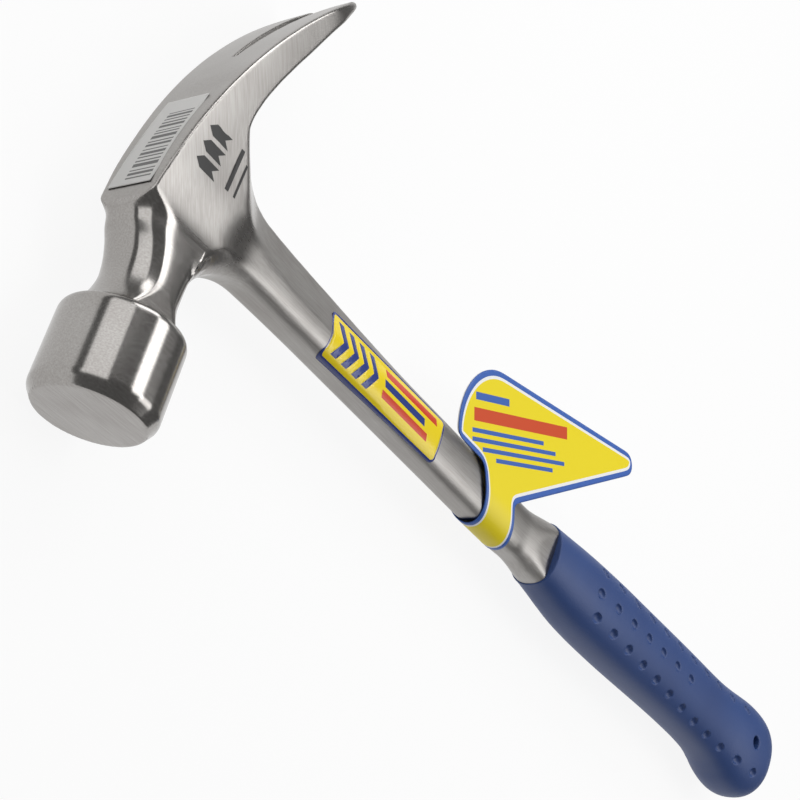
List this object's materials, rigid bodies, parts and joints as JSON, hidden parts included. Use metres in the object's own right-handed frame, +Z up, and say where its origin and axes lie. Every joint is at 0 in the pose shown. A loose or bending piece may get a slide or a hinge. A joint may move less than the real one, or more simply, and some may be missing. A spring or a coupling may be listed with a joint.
{
  "type": "framing hammer",
  "caption": "One-piece forged steel framing hammer with a smooth round face, straight split claws, a moulded blue vinyl grip, paper labels and a sliding card tag.",
  "frame": {"origin": "middle of the footprint, on the surface the hammer lies on", "axes": "+X down the handle from the head to the butt, +Y from the striking face to the claws, +Z up, away from the surface"},
  "size_m": [0.408, 0.1504, 0.032],
  "materials": {
    "steel": "polished and brushed",
    "vinyl": "satin",
    "printed_film": "gloss",
    "label_paper": "matt",
    "tag_card": "gloss"
  },
  "bodies": {
    "hammer": {"forged_body": "steel", "grip": "vinyl", "shank_label": "printed_film", "top_label": "label_paper"},
    "hang_tag": {"hang_tag": "tag_card"}
  },
  "joints": [
    {"name": "tag_slide", "type": "slide", "parent": "hammer", "child": "hang_tag", "axis": [-1, 0, 0], "range_m": [0, 0.08]}
  ]
}
